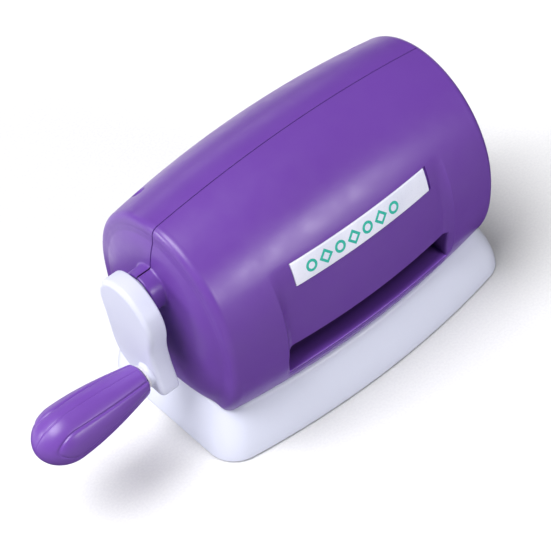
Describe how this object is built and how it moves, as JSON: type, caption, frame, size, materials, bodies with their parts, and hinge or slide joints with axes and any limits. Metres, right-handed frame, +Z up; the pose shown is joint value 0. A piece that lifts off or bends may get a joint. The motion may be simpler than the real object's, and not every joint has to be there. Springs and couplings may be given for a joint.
{
  "type": "die cutting machine",
  "caption": "Barrel-shaped hand-cranked die cutting machine with a feed slot right through it, a pair of geared rollers inside and a crank with a turning grip.",
  "frame": {"origin": "middle of the anti-slip ring's underside, on the table", "axes": "+Z up, X along the rollers with the crank at -X, -Y the front that the picture shows, where the label is"},
  "size_m": [0.2336, 0.098, 0.117],
  "materials": {
    "purple_plastic": "satin moulded",
    "grip_plastic": "satin moulded",
    "white_plastic": "glossy moulded",
    "label_plastic": "satin",
    "dark_plastic": "fine grain",
    "anti_slip_rubber": "matte",
    "frame_steel": "zinc plated sheet",
    "bar_steel": "turned",
    "roller_steel": "ground",
    "screw_steel": "zinc plated",
    "bush_bronze": "sintered",
    "gear_nylon": "moulded"
  },
  "bodies": {
    "housing": {"front_shell": "purple_plastic", "rear_shell": "purple_plastic", "label_plate": "label_plastic", "base_plinth": "white_plastic", "base_plate": "dark_plastic", "anti_slip_ring": "anti_slip_rubber", "left_frame": "frame_steel", "right_frame": "frame_steel", "gear_plate": "frame_steel", "standoffs": "bar_steel", "standoff_screws": "screw_steel", "tie_rods": "bar_steel", "tie_rod_screws": "screw_steel", "front_feed_guide": "dark_plastic", "rear_feed_guide": "dark_plastic", "upper_bushes": "bush_bronze", "lower_bushes": "bush_bronze", "gear_plate_bushes": "bush_bronze", "crank_bush": "bush_bronze", "shell_screws": "screw_steel", "deck_screws": "screw_steel", "base_screws": "screw_steel", "frame_screws": "screw_steel"},
    "crank": {"crank_arm": "white_plastic", "crank_shaft": "bar_steel", "crank_clip": "screw_steel", "drive_pinion": "bar_steel", "grip_pin": "bar_steel", "grip_washer": "gear_nylon", "grip_snap_ring": "screw_steel"},
    "grip": {"crank_grip": "grip_plastic"},
    "upper_roller": {"upper_roller": "roller_steel", "drive_gear": "gear_nylon", "upper_sync_gear": "gear_nylon", "upper_roller_clips": "screw_steel"},
    "lower_roller": {"lower_roller": "roller_steel", "lower_sync_gear": "gear_nylon", "lower_roller_clips": "screw_steel"}
  },
  "joints": [
    {"name": "crank_turn", "type": "hinge", "parent": "housing", "child": "crank", "pos_m": [-0.0855, 0, 0.0825], "axis": [1, 0, 0], "continuous": true},
    {"name": "grip_spin", "type": "hinge", "parent": "crank", "child": "grip", "pos_m": [-0.0977, -0.0113, 0.0505], "axis": [1, 0, 0], "continuous": true},
    {"name": "upper_roller_turn", "type": "hinge", "parent": "housing", "child": "upper_roller", "pos_m": [0, 0, 0.06], "axis": [1, 0, 0], "continuous": true},
    {"name": "lower_roller_turn", "type": "hinge", "parent": "housing", "child": "lower_roller", "pos_m": [0, 0, 0.026], "axis": [1, 0, 0], "continuous": true}
  ],
  "couplings": [
    {"joint": "upper_roller_turn", "follows": "crank_turn", "ratio": -0.5},
    {"joint": "lower_roller_turn", "follows": "crank_turn", "ratio": 0.5}
  ]
}
